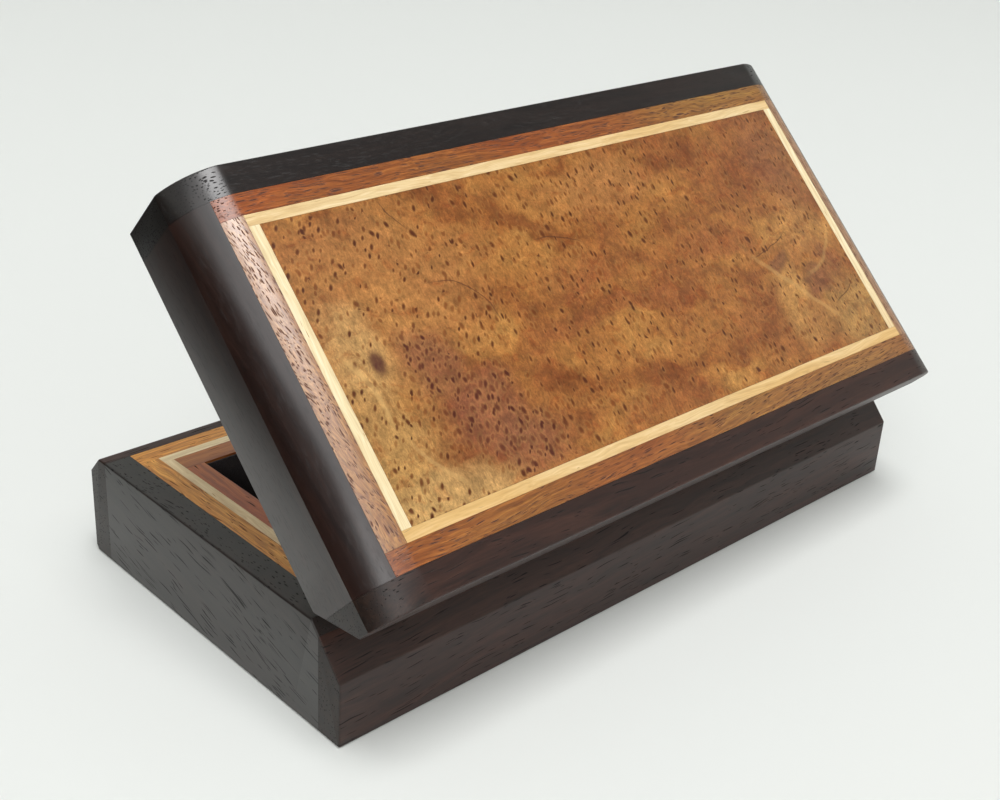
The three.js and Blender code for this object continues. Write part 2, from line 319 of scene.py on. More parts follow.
def straight_wood(
    name,
    tones,
    pores,
    rough,
    stripe,
    spacing,
    length,
    pore_size,
    pore_share=0.6,
    fibre=0.12,
    tints=("#ffffff", "#ffffff"),
    depth=0.08,
    end_tint="#cccccc",
    shine=0.9,
    face_pores=1.0,
    ior=1.5,
):
    """Straight-grained hardwood as a solid that the piece was cut from. `tones` run from its dark to its
    pale growth stripes. Sizes are millimetres: width of a stripe, spacing, length and radius of the
    pores, and depth of an open pore. `fibre` is how far the fine fibres lighten and darken the wood,
    `tints` is a slow drift of colour, and `face_pores` is how open the pores are where the face runs
    with the grain."""
    material, tree = new_material(name)
    lie = add(tree, "Attribute", attribute_name="grain").outputs["Vector"]
    mm = add(tree, "VectorMath", {0: lie, 3: 1000.0}, operation="SCALE")

    # The grain strays by up to a few millimetres over a board, and wavers within a few centimetres.
    stray = (0.0, 9.0, 9.0)
    stray_per_mm = (0.014, 0.05, 0.05)
    waver = (0.0, 1.6, 1.6)
    waver_per_mm = (0.09, 0.3, 0.3)
    slow = add(tree, "VectorMath", {0: mm, 1: stray_per_mm}, operation="MULTIPLY")
    sway = add(tree, "TexNoise", {"Vector": slow, "Scale": 1.0, "Detail": 2.0}).outputs["Color"]
    sway = add(tree, "VectorMath", {0: sway, 1: (0.5, 0.5, 0.5)}, operation="SUBTRACT")
    sway = add(tree, "VectorMath", {0: sway, 1: stray}, operation="MULTIPLY")
    grain = add(tree, "VectorMath", {0: mm, 1: sway}, operation="ADD")
    quick = add(tree, "VectorMath", {0: grain, 1: waver_per_mm}, operation="MULTIPLY")
    sway = add(tree, "TexNoise", {"Vector": quick, "Scale": 1.0, "Detail": 1.0}).outputs["Color"]
    sway = add(tree, "VectorMath", {0: sway, 1: waver}, operation="MULTIPLY")
    grain = add(tree, "VectorMath", {0: grain, 1: sway}, operation="ADD")

    def stretched(along, across, detail=3.0, roughness=0.5):
        """Noise drawn out along the grain, with features of the given length and width in millimetres."""
        scale = (1 / along, 1 / across, 1 / across)
        place = add(tree, "VectorMath", {0: grain, 1: scale}, operation="MULTIPLY")
        settings = {"Vector": place, "Scale": 1.0, "Detail": detail, "Roughness": roughness}
        return add(tree, "TexNoise", settings)

    # Growth stripes, broad ones with finer ones inside them.
    contrast = 0.16
    wide = stretched(stripe * 40, stripe)
    fine = stretched(stripe * 14, stripe / 4, 2.0)
    both = add(tree, "Mix", {"Factor": 0.4, "A": wide, "B": fine})
    body = add(tree, "ValToRGB", {"Fac": both})
    set_stops(body, zip(np.linspace(0.5 - contrast, 0.5 + contrast, len(tones)), tones))

    # Colour drifts along a plank, and each strip has its own tone.
    tone = add(tree, "Attribute", attribute_name="tone").outputs["Fac"]
    spread = {"From Min": 0.35, "From Max": 0.65, "To Min": -0.35, "To Max": 0.35}
    drift = add(tree, "MapRange", {"Value": stretched(90.0, 30.0, 1.0), **spread})
    drift = add(tree, "Math", {0: drift, 1: tone}, operation="ADD", use_clamp=True)
    ends = {"Factor": drift, "A": colour(tints[0]), "B": colour(tints[1])}
    tint = add(tree, "Mix", ends, data_type="RGBA")
    tinted = {"Factor": 1.0, "A": body, "B": tint}
    body = add(tree, "Mix", tinted, data_type="RGBA", blend_type="MULTIPLY")

    # Fine fibres, drawn 0.32 mm wide, about ten times the real ones, so that they show.
    threads = stretched(10.0, 0.32, 2.0, 0.6)
    spread = {"From Min": 0.3, "From Max": 0.7, "To Min": 1 - fibre, "To Max": 1 + fibre}
    shade = add(tree, "MapRange", {"Value": threads, **spread})
    body = add(tree, "VectorMath", {0: body, 3: shade}, operation="SCALE")

    # End grain shows where a long piece's face turns toward the box's ends.
    normal = add(tree, "NewGeometry").outputs["True Normal"]
    facing = add(tree, "SeparateXYZ", {0: normal}).outputs["X"]
    facing = add(tree, "Math", {0: facing}, operation="ABSOLUTE")
    end_on = add(tree, "Attribute", attribute_name="end_on").outputs["Fac"]
    end_on = add(tree, "Math", {0: facing, 1: end_on}, operation="MULTIPLY")

    # Pores are long thin cells: dashes where the face runs with the grain, dots on end grain. A cell
    # has a pore if its random number is under the share that the wood keeps there.
    cell = (2 * pore_size / (length * spacing), 1 / spacing, 1 / spacing)
    where = add(tree, "VectorMath", {0: grain, 1: cell}, operation="MULTIPLY")
    vessel = add(tree, "TexVoronoi", {"Vector": where, "Scale": 1.0}, feature="F1")
    chance = add(tree, "SeparateColor", {"Color": vessel.outputs["Color"]}).outputs
    least, most = pore_share * 0.3, pore_share * 1.7
    spread = {"From Min": 0.35, "From Max": 0.65, "To Min": least, "To Max": most}
    keep = add(tree, "MapRange", {"Value": stretched(40.0, 5.0, 2.0), **spread})
    kept = add(tree, "Math", {0: chance["Red"], 1: keep}, operation="LESS_THAN")
    spread = {"To Min": 0.6 * pore_size / spacing, "To Max": 1.4 * pore_size / spacing}
    girth = add(tree, "MapRange", {"Value": chance["Green"], **spread})
    edge = add(tree, "Math", {0: vessel.outputs["Distance"], 1: girth}, operation="DIVIDE")
    fade = {"Value": edge, "From Min": 0.6, "From Max": 1.3, "To Min": 1.0, "To Max": 0.0}
    hole = add(tree, "MapRange", fade, interpolation_type="SMOOTHSTEP")
    hole = add(tree, "Math", {0: hole, 1: kept}, operation="MULTIPLY")
    open_share = add(tree, "MapRange", {"Value": end_on, "From Max": 0.3, "To Min": face_pores})
    hole = add(tree, "Math", {0: hole, 1: open_share}, operation="MULTIPLY")
    body = add(tree, "Mix", {"Factor": hole, "A": body, "B": colour(pores)}, data_type="RGBA")

    # End grain drinks more oil and is darker.
    soaked = {"Factor": end_on, "A": body, "B": colour(end_tint)}
    body = add(tree, "Mix", soaked, data_type="RGBA", blend_type="MULTIPLY")

    # Open pores are dull and sunk, and the fibres stand up a little.
    dull = add(tree, "MapRange", {"Value": hole, "To Min": rough, "To Max": 0.9})
    relief = add(tree, "Math", {0: threads, 1: 0.1}, operation="MULTIPLY")
    relief = add(tree, "Math", {0: relief, 1: hole}, operation="SUBTRACT")
    bump = add(tree, "Bump", {"Strength": 0.7, "Distance": depth / 1000, "Height": relief})
    finish = add(
        tree,
        "BsdfPrincipled",
        {"Base Color": body, "Roughness": dull, "IOR": ior, "Specular IOR Level": shine, "Normal": bump},
    )
    add(tree, "OutputMaterial", {"Surface": finish})
    return material


# Wenge-like wood, oiled satin: near-black brown with open pores that read as dark dashes along the
# grain and as dots on end grain, under a soft grey sheen. The pores are 0.32 mm wide, as wide as the
# widest real ones, so that they show.
dark_oiled = straight_wood(
    "wenge_oiled_satin",
    tones=("#180f0d", "#231916", "#2e2320"),
    pores="#080504",
    rough=0.37,
    stripe=2.2,
    spacing=0.68,
    length=12.0,
    pore_size=0.16,
    pore_share=0.9,
    tints=("#ffe0ce", "#ccd2c4"),
    depth=0.03,
    end_tint="#c2cdb8",
    shine=0.8,
)
# Fine wenge-like wood, oiled satin: the lid's front and ends come from a denser plank with short
# pores, sanded smoother, so that the rounded ends carry a clear soft highlight.
dark_fine = straight_wood(
    "wenge_fine_oiled_satin",
    tones=("#180e0c", "#221613", "#2a1d19"),
    pores="#0a0606",
    rough=0.31,
    stripe=2.2,
    spacing=0.5,
    length=2.6,
    pore_size=0.15,
    pore_share=1.0,
    fibre=0.2,
    tints=("#ffdcca", "#ccccc8"),
    depth=0.01,
    end_tint="#ccd6cc",
    shine=0.8,
    face_pores=0.2,
)
# Brown wenge-like wood, oiled satin: the base's long boards and the lid's back are browner and duller,
# with faint long dashes.
dark_brown = straight_wood(
    "wenge_brown_oiled_satin",
    tones=("#1f1310", "#2f1f1a", "#3d2a23"),
    pores="#0e0807",
    rough=0.42,
    stripe=2.4,
    spacing=0.6,
    length=9.0,
    pore_size=0.13,
    pore_share=0.9,
    fibre=0.2,
    tints=("#ffd8c8", "#ffe8dc"),
    depth=0.02,
    end_tint="#a8b8a4",
    shine=0.48,
)

# Each board's wood, its tone at the box's far and near end, and how its grain slants across and up.
boards = {
    "base_front": (dark_brown, (0.4, 0.5), (0.02, 0.01)),
    "base_back": (dark_brown, (0.1, 0.2), (0.01, 0.03)),
    "base_left": (dark_oiled, (0.6, 0.6), (0.02, 0.1)),
    "base_right": (dark_oiled, (1.0, 1.0), (0.03, 0.25)),
    "lid_front": (dark_fine, (0.8, 1.0), (0.02, 0.0)),
    "lid_back": (dark_brown, (0.3, 0.3), (0.0, 0.02)),
    "lid_left": (dark_fine, (0.3, 0.3), (0.03, 0.04)),
    "lid_right": (dark_fine, (0.1, 0.1), (0.05, -0.08)),
}
for seed, (side, (wood, tone, slant)) in enumerate(boards.items()):
    strip(f"{side}_board", wood, seed, tone, slant)

# ---- Bands ----
# Inside the boards runs a band of straight-grained golden to red-brown hardwood. Its strips are sawn
# to width, glued to the boards with the end strips between the long ones, and planed flush.

# Sapele-like wood, oiled satin: reddish to golden brown stripes with fine dark pore dashes. The pores
# are 0.22 mm wide, a little over the real 0.15 mm, so that they show.
band_oiled = straight_wood(
    "sapele_oiled_satin",
    tones=("#704a24", "#8b6434", "#a47e45"),
    pores="#46200f",
    rough=0.33,
    stripe=0.7,
    spacing=0.4,
    length=3.2,
    pore_size=0.11,
    pore_share=1.0,
    fibre=0.3,
    tints=("#ffb796", "#fff6d8"),
    shine=0.8,
    depth=0.03,
    end_tint="#d8d0c0",
)
# Sapele-like wood, oiled and polished: the lid's end bands are cut from a paler plank. Their rounded
# faces took a higher polish and shine nearly white between dark dashes.
band_end = straight_wood(
    "sapele_end_oiled_polished",
    tones=("#7c4f28", "#986b39", "#ac8452"),
    pores="#5a2f18",
    rough=0.3,
    stripe=0.7,
    spacing=0.38,
    length=2.8,
    pore_size=0.135,
    pore_share=1.0,
    fibre=0.3,
    tints=("#fff0dc", "#fff0dc"),
    depth=0.02,
    shine=1.0,
    ior=1.62,
)
# Pale sapele-like wood, oiled satin: the base's bands come from a golden plank, brighter than the lid's.
band_pale = straight_wood(
    "sapele_pale_oiled_satin",
    tones=("#9c6229", "#c98a36", "#e4ac58"),
    pores="#6b3c1c",
    rough=0.36,
    stripe=0.9,
    spacing=0.55,
    length=4.0,
    pore_size=0.12,
    pore_share=0.8,
    fibre=0.2,
    tints=("#ffd9bc", "#fffaea"),
    depth=0.03,
    end_tint="#e4d4b4",
    shine=0.7,
)

# Each band's wood, its tone at the box's far and near end, and how its grain slants across and up.
bands = {
    "base_front": (band_pale, (0.9, 0.9), (0.02, 0.0)),
    "base_back": (band_pale, (0.8, 0.8), (0.03, 0.0)),
    "base_left": (band_pale, (0.9, 0.9), (0.04, 0.02)),
    "base_right": (band_pale, (1.0, 1.0), (0.05, 0.0)),
    "lid_front": (band_oiled, (0.9, 0.0), (0.02, 0.0)),
    "lid_back": (band_oiled, (1.0, 0.25), (-0.05, 0.0)),
    "lid_left": (band_end, (0.5, 0.5), (0.1, 0.05)),
    "lid_right": (band_end, (0.9, 0.9), (0.22, 0.1)),
}
for seed, (side, (wood, tone, slant)) in enumerate(bands.items(), len(boards)):
    strip(f"{side}_band", wood, seed, tone, slant)

# ---- Pale lines ----
# Inside each band lies a thin line of pale maple-like wood. It is sawn into 3.2 mm strips, glued on
# with the end strips between the long ones, and planed flush.

# Maple-like wood, oiled satin: cream and nearly plain, so that it reads as one clean pale line. Along the
# lid's long sides it is a little warmer. The lid's end lines and the base's lines are painted paler: a
# painted sheen on the cross-grained end lines, and painted light against the shade of the open lid on the
# base's lines. Its pores are drawn 0.2 mm wide, twice the real ones.
line_oiled = straight_wood(
    "maple_oiled_satin",
    tones=("#d9bf92", "#ebd6a8", "#faeac8"),
    pores="#bd9a66",
    rough=0.36,
    stripe=1.2,
    spacing=0.9,
    length=3.0,
    pore_size=0.1,
    fibre=0.04,
    depth=0.01,
    tints=("#ead0a8", "#ffffff"),
    end_tint="#f0e8dc",
)
for seed, side in enumerate(boards, 2 * len(boards)):
    # Painted light: the lid's end lines and the base's lines get the pale tone, as a painted sheen on the
    # end lines and as painted light against the lid's shade on the base's lines. The lid's long lines
    # keep the warmer tone.
    tone = (0.3, 0.3) if side in ("lid_front", "lid_back") else (1.0, 1.0)
    strip(f"{side}_line", line_oiled, seed, tone)

# ---- Inner bands ----
# The last course is a redder brown wood, glued to the lines and planed flush. In the base it is the
# wall of the well, and in the lid it frames the recess and carries the panel.

# Mahogany-like wood, oiled satin: an even red-brown with soft stripes and small open pores, a little
# wider than the real ones so that they show. It is the warm rim round the black of the lining.
inner_oiled = straight_wood(
    "mahogany_oiled_satin",
    tones=("#84401a", "#a85a22", "#bf7030"),
    pores="#3b1a0e",
    rough=0.38,
    stripe=1.8,
    spacing=1.0,
    length=5.0,
    pore_size=0.16,
    tints=("#f0fff8", "#ffe8dc"),
    depth=0.02,
)
for seed, side in enumerate(boards, 3 * len(boards)):
    tone = (0.0, 0.0) if side.endswith("front") else (0.9, 0.9)
    strip(f"{side}_inner_band", inner_oiled, seed, tone)

# ---- Burl panel ----
# A solid panel of burl is let into the top of the lid inside the pale lines. It is glued down on the
# inner bands, planed flush with the lines, sanded fine and oiled.


def slab(node, suffix, material, radius=0.0002):
    """A flat rectangular piece in its CAD node's limits: a rounded (y, z) rectangle carried along X,
    drawn in by a quarter circle at both ends."""
    half = node.split("_")[0]
    low, high = shut_box(node)
    corners = [(low[1], low[2]), (high[1], low[2]), (high[1], high[2]), (low[1], high[2])]
    outline = rounded(corners, [radius] * 4)
    turn = np.linspace(0, math.pi / 2, 5)
    draw = radius - radius * np.sin(turn)
    foot = radius - radius * np.cos(turn)
    x = np.concatenate([low[0] + foot, high[0] - foot[::-1]])[:, None]
    draw = np.concatenate([draw, draw[::-1]])[:, None]
    y = np.clip(outline[:, 0] + 0 * x, low[1] + draw, high[1] - draw)
    z = np.clip(outline[:, 1] + 0 * x, low[2] + draw, high[2] - draw)
    shut = np.stack([x + 0 * y, y, z], -1)
    piece = skin(node + suffix, stand(half, shut), shut)
    piece.data.materials.append(material)
    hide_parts(node)
    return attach(piece, half)


# Redwood-like burl, oiled satin: clouded gold and red-brown wood with wavy dark bands, scattered
# dark eyes 1 to 3 mm long, a paler corner with a drift of purple eyes along it, and a few checks.
burl_oiled, tree = new_material("burl_oiled_satin")
lie = add(tree, "Attribute", attribute_name="grain").outputs["Vector"]
mm = add(tree, "VectorMath", {0: lie, 3: 1000.0}, operation="SCALE")
half_grey = (0.5, 0.5, 0.5)  # the middle of a noise's colours


def cloud(place, size, detail=3.0, roughness=0.5):
    """Noise with features of about the given (x, y) size in millimetres, much the same all through the
    panel's thickness."""
    per_mm = (1 / size[0], 1 / size[1], 0.02)
    place = add(tree, "VectorMath", {0: place, 1: per_mm}, operation="MULTIPLY")
    settings = {"Vector": place, "Scale": 1.0, "Detail": detail, "Roughness": roughness}
    return add(tree, "TexNoise", settings)


# The wood is swirled by a broad drift and a finer curl, in millimetres.
drift = cloud(mm, (30, 24)).outputs["Color"]
drift = add(tree, "VectorMath", {0: drift, 1: half_grey}, operation="SUBTRACT")
drift = add(tree, "VectorMath", {0: drift, 1: (24.0, 20.0, 0.0)}, operation="MULTIPLY")
curl = cloud(mm, (7, 7)).outputs["Color"]
curl = add(tree, "VectorMath", {0: curl, 1: half_grey}, operation="SUBTRACT")
curl = add(tree, "VectorMath", {0: curl, 1: (5.0, 6.0, 0.0)}, operation="MULTIPLY")
swirl = add(tree, "VectorMath", {0: mm, 1: drift}, operation="ADD")
swirl = add(tree, "VectorMath", {0: swirl, 1: curl}, operation="ADD")

ground = add(tree, "ValToRGB", {"Fac": cloud(swirl, (26, 15), 6.0, 0.6)})
set_stops(ground, ((0.28, "#804824"), (0.43, "#90592e"), (0.57, "#9e6834"), (0.72, "#b17e42")))


def patch(centre, reach, wood=swirl):
    """1 in the middle of a soft-edged patch, 0 outside it: the distance from its centre in units of its
    reach, measured in the swirled wood so that its edge wanders."""
    per_reach = (1 / reach[0], 1 / reach[1], 0.0)
    away = add(tree, "VectorMath", {0: wood, 1: (*centre, 0.0)}, operation="SUBTRACT")
    away = add(tree, "VectorMath", {0: away, 1: per_reach}, operation="MULTIPLY")
    distance = add(tree, "VectorMath", {0: away}, operation="LENGTH")
    fade = {"Value": distance, "From Min": 1.25, "From Max": 0.45}
    return add(tree, "MapRange", fade, interpolation_type="SMOOTHSTEP")


def arc(first, middle, last, width):
    """1 on a thin line through three points, fading at its ends: how far a point's distance from the
    circle's centre is from its radius. The centre solves 2 (p - first) . c = p . p - first . first."""
    p = np.array([first, middle, last], float)
    centre = np.linalg.solve(2 * (p[1:] - p[0]), (p[1:] ** 2).sum(1) - (p[0] ** 2).sum())
    radius = float(np.linalg.norm(p[0] - centre))
    away = add(tree, "VectorMath", {0: curl, 1: (0.4, 0.4, 0.0), 2: mm}, operation="MULTIPLY_ADD")
    away = add(tree, "VectorMath", {0: away, 1: (*centre, 0.0)}, operation="SUBTRACT")
    away = add(tree, "VectorMath", {0: away, 1: (1.0, 1.0, 0.0)}, operation="MULTIPLY")
    distance = add(tree, "VectorMath", {0: away}, operation="LENGTH")
    off = add(tree, "Math", {0: distance, 1: radius}, operation="SUBTRACT")
    off = add(tree, "Math", {0: off}, operation="ABSOLUTE")
    fade = {"Value": off, "From Min": width, "From Max": width * 0.3}
    line = add(tree, "MapRange", fade, interpolation_type="SMOOTHSTEP")
    reach = float(np.linalg.norm(p[2] - p[0])) * 0.6
    ends = patch(p.mean(0).tolist(), (reach, reach), mm)
    return add(tree, "Math", {0: line, 1: ends}, operation="MULTIPLY")


def stained(wood, tone, where, strength, blend="MIX"):
    """A wood colour with a tone laid over it, at a strength, where a 0 to 1 pattern is."""
    share = add(tree, "Math", {0: where, 1: strength}, operation="MULTIPLY")
    layers = {"Factor": share, "A": wood, "B": colour(tone)}
    return add(tree, "Mix", layers, data_type="RGBA", blend_type=blend)


# Growth rings cross the panel as wide arcs about a point off its front edge, darker where they close up.
ring_centre = (-28.0, -72.0, 0.0)
ring_pitch = 22
ring = add(tree, "VectorMath", {0: swirl, 1: ring_centre}, operation="SUBTRACT")
ring = add(tree, "VectorMath", {0: ring, 1: (0.67, 1.0, 0.0)}, operation="MULTIPLY")
ring = add(tree, "VectorMath", {0: ring}, operation="LENGTH")
ring_phase = -15.5
wave = {0: ring, 1: 2 * math.pi / ring_pitch, 2: ring_phase}
wave = add(tree, "Math", wave, operation="MULTIPLY_ADD")
wave = add(tree, "Math", {0: wave}, operation="SINE")
wave = add(tree, "MapRange", {"Value": wave, "From Min": 0.1}, interpolation_type="SMOOTHSTEP")
fade = {"Value": cloud(mm, (34, 20), 2.0), "From Min": 0.36, "From Max": 0.6}
some = add(tree, "MapRange", fade, interpolation_type="SMOOTHSTEP")
rings = add(tree, "Math", {0: wave, 1: some}, operation="MULTIPLY")
ground = stained(ground, "#a8705c", rings, 0.45, "MULTIPLY")

# Centre and reach in mm of each patch that differs from the ground, its colour and its strength.
for centre, reach, tone, strength in (
    ((78, -18), (36, 26), "#aa7644", 0.55),
    ((98, 30), (20, 26), "#ae8750", 0.75),
    ((96, -1), (12, 15), "#b8905a", 0.8),
    ((84, 42), (24, 10), "#b8925c", 0.8),
    ((-84, 2), (18, 11), "#b5844a", 0.55),
    ((-68, 24), (8, 15), "#ba8c50", 0.5),
    ((-92, 34), (18, 12), "#a6834c", 0.55),
    ((-81, 22), (9, 5), "#70432c", 0.7),
    ((-92, 17), (7, 6), "#70432c", 0.5),
    ((-67, 10), (3, 4), "#6e4630", 0.6),
    ((76, 6), (9, 12), "#7a4c3a", 0.5),
    ((64, 22), (14, 13), "#7a4838", 0.6),
    ((54, 34), (14, 9), "#7a4c3a", 0.5),
    ((-94, -22), (14, 20), "#7f4f32", 0.6),
    ((14, -6), (16, 8), "#84482a", 0.45),
    ((-48, -4), (16, 5), "#84482a", 0.35),
    ((0, 8), (40, 4), "#84482a", 0.4),
    ((-10, -30), (26, 9), "#b57f47", 0.5),
):
    ground = stained(ground, tone, patch(centre, reach), strength)

# Mottling, short fibres that stand nearly across the panel, and fine grit: size in mm, detail, spread.
gentle = add(tree, "VectorMath", {0: curl, 1: (0.5, 0.5, 0.0), 2: mm}, operation="MULTIPLY_ADD")
for size, detail, spread in (((4.5, 3.8), 4.0, 0.28), ((0.8, 2.2), 3.0, 0.26), ((0.4, 0.6), 2.0, 0.22)):
    limits = {"From Min": 0.3, "From Max": 0.7, "To Min": 1 - spread, "To Max": 1 + spread}
    mottle = add(tree, "MapRange", {"Value": cloud(gentle, size, detail, 0.65), **limits})
    ground = add(tree, "VectorMath", {0: ground, 3: mottle}, operation="SCALE")
fade = {"Value": cloud(swirl, (6, 3), 3.0, 0.6), "From Min": 0.5, "From Max": 0.72}
blush = add(tree, "MapRange", fade, interpolation_type="SMOOTHSTEP")
ground = stained(ground, "#cf9a80", blush, 0.5, "MULTIPLY")


def eyes(cell, radius, share, offset, lean):
    """(how far into an eye, into its pale rim, a random number) for eyes scattered one to a cell, whose
    size is in mm. An eye is an ellipse of the cell's proportions, with its radius in cells, that leans
    by an angle. It is there if its random number is under its share. The offset makes scatters differ."""
    place = add(tree, "VectorMath", {0: curl, 1: (0.25, 0.25, 0.0), 2: mm}, operation="MULTIPLY_ADD")
    turned = {"Vector": place, "Angle": math.radians(lean)}
    place = add(tree, "VectorRotate", turned, rotation_type="Z_AXIS")
    per_cell = (1 / cell[0], 1 / cell[1], 0.0)
    place = add(tree, "VectorMath", {0: place, 1: per_cell}, operation="MULTIPLY")
    place = add(tree, "VectorMath", {0: place, 1: (offset, offset, 0.0)}, operation="ADD")
    cells = add(tree, "TexVoronoi", {"Vector": place, "Scale": 1.0}, voronoi_dimensions="2D")
    chance = add(tree, "SeparateColor", {"Color": cells.outputs["Color"]}).outputs
    there = add(tree, "Math", {0: chance["Red"], 1: share}, operation="LESS_THAN")
    limits = {"To Min": radius * 0.6, "To Max": radius * 1.3}
    girth = add(tree, "MapRange", {"Value": chance["Green"], **limits})
    depth = add(tree, "Math", {0: cells.outputs["Distance"], 1: girth}, operation="DIVIDE")
    parts = []
    for nothing, full in ((1.4, 0.4), (2.4, 1.2), (0.8, 1.2)):
        fade = {"Value": depth, "From Min": nothing, "From Max": full}
        part = add(tree, "MapRange", fade, interpolation_type="SMOOTHSTEP")
        parts.append(add(tree, "Math", {0: part, 1: there}, operation="MULTIPLY"))
    inside, near_rim, past_middle = parts
    rim = add(tree, "Math", {0: near_rim, 1: past_middle}, operation="MULTIPLY")
    return inside, rim, chance["Blue"]


# Eyes crowd in places. Those of the near end lean over, and those along the pale corner are purple.
fade = {"Value": cloud(mm, (16, 9), 3.0, 0.6), "From Min": 0.4, "From Max": 0.62}
crowd = add(tree, "MapRange", fade, interpolation_type="SMOOTHSTEP")
purple = patch((76, 6), (9, 14))
for centre, reach in (((64, 22), (15, 15)), ((54, 34), (14, 10))):
    purple = add(tree, "Math", {0: purple, 1: patch(centre, reach)}, operation="MAXIMUM")
along = add(tree, "SeparateXYZ", {0: mm}).outputs["X"]
fade = {"Value": along, "From Min": 40.0, "From Max": 62.0}
near_end = add(tree, "MapRange", fade, interpolation_type="SMOOTHSTEP")
fade = {"Value": near_end, "From Min": 1.0, "From Max": 0.0}
far_side = add(tree, "MapRange", fade, interpolation_type="SMOOTHSTEP")

# The share of cells with an eye, for each kind: a least share, more in a crowd, and more again in a
# patch of its own.
shares = []
for least, in_crowd, own, in_own in (
    (0.22, 0.5, patch((-14, -28), (34, 13)), 0.5),
    (0.34, 0.5, purple, 0.5),
    (0.12, 0.15, purple, 0.6),
):
    share = add(tree, "Math", {0: crowd, 1: in_crowd, 2: least}, operation="MULTIPLY_ADD")
    shares.append(add(tree, "Math", {0: own, 1: in_own, 2: share}, operation="MULTIPLY_ADD"))
upright = add(tree, "Math", {0: shares[0], 1: far_side}, operation="MULTIPLY")
leaning = add(tree, "Math", {0: shares[1], 1: near_end}, operation="MULTIPLY")
large = shares[2]
kinds = (
    eyes(cell=(2.0, 4.5), radius=0.22, share=upright, offset=0.0, lean=4.0),
    eyes(cell=(2.0, 4.0), radius=0.23, share=leaning, offset=40.0, lean=30.0),
    eyes(cell=(3.0, 4.6), radius=0.21, share=large, offset=80.0, lean=-12.0),
)
for inside, rim, chance in kinds:
    ground = stained(ground, "#c99b5c", rim, 0.1)
for inside, rim, chance in kinds:
    eye = {"Factor": chance, "A": colour("#7c400f"), "B": colour("#4a1f08")}
    eye = add(tree, "Mix", eye, data_type="RGBA")
    eye = stained(eye, "#4a1c16", purple, 0.7)
    strength = add(tree, "MapRange", {"Value": chance, "To Min": 0.5}, interpolation_type="SMOOTHSTEP")
    share = add(tree, "Math", {0: inside, 1: strength}, operation="MULTIPLY")
    ground = add(tree, "Mix", {"Factor": share, "A": ground, "B": eye}, data_type="RGBA")
knot = patch((88.6, 1.0), (2.5, 3.8), mm)
ground = stained(ground, "#4c2420", knot, 0.85)

# Pale ridges and a few dark creases run through the pale patches: three points in mm, width, colour
# and strength.
for first, mid, last, width, tone, strength in (
    ((-59, 5), (-70, 18), (-83, 33), 1.3, "#c99f62", 0.35),
    ((-98, 4), (-91, 12), (-80, 16), 0.9, "#c99f62", 0.3),
    ((97, -2), (93.5, 7), (93, 17), 1.1, "#cda468", 0.5),
    ((95, -1), (91.5, 7), (91, 17), 0.6, "#7e5028", 0.35),
    ((88, 23), (84, 29), (78, 35), 0.6, "#7e5028", 0.45),
    ((90, 24), (86, 31), (80, 38), 1.0, "#cda468", 0.4),
    ((38, -42), (28, -30), (8, -17), 1.6, "#7e4a28", 0.25),
):
    ground = stained(ground, tone, arc(first, mid, last, width), strength)

# Hairline checks run through three points each. They are drawn 0.28 mm wide, about twice the real
# ones, so that they show.
check_width = 0.28
check = arc((64.6, -40.4), (63.2, -36.5), (60.6, -32.4), check_width)
for first, mid, last in (
    ((58.6, -15.4), (51.6, -12.4), (45.6, 0.6)),
    ((19.6, -19.4), (12.0, -18.2), (5.6, -15.4)),
    ((-60.0, 5.0), (-68.0, 4.2), (-77.0, 1.0)),
    ((-85.0, 27.6), (-91.0, 26.0), (-97.0, 23.0)),
):
    line = arc(first, mid, last, check_width)
    check = add(tree, "Math", {0: check, 1: line}, operation="MAXIMUM")
ground = stained(ground, "#4f2a18", check, 0.7)

# Eyes and checks are slightly sunk and duller.
dents = check
for inside, rim, chance in kinds:
    dents = add(tree, "Math", {0: dents, 1: inside}, operation="MAXIMUM")
limits = {"To Min": 0.33, "To Max": 0.38}
dull = add(tree, "MapRange", {"Value": dents, **limits}, interpolation_type="SMOOTHSTEP")
sunk = add(tree, "Math", {0: mottle, 1: 0.5}, operation="MULTIPLY")
sunk = add(tree, "Math", {0: sunk, 1: dents}, operation="SUBTRACT")
bump = add(tree, "Bump", {"Strength": 0.4, "Distance": 0.00003, "Height": sunk})
finish = add(
    tree,
    "BsdfPrincipled",
    {"Base Color": ground, "Roughness": dull, "IOR": 1.5, "Specular IOR Level": 0.32, "Normal": bump},
)
add(tree, "OutputMaterial", {"Surface": finish})
slab("lid_burl_panel", "_oiled", burl_oiled, radius=glue_gap)

# ---- Bottom panel ----
# A plain brown panel closes the base from below. It is cut to fit inside the dark boards, glued in,
# and only sanded, since it is out of sight.

# Walnut-like wood, sanded: matt mid-brown with broad soft stripes and no gloss.
walnut_sanded = straight_wood(
    "walnut_sanded",
    tones=("#5d4230", "#725440", "#80624b"),
    pores="#3a2619",
    rough=0.6,
    stripe=4.0,
    spacing=1.2,
    length=5.0,
    pore_size=0.16,
    shine=0.5,
)
slab("base_bottom_panel", "_sanded", walnut_sanded)

# ---- Flocked lining ----
# Thin card coated with black flock lines the box. It is cut flat and glued in: a floor and four
# walls in the well, and one sheet in the lid's recess.

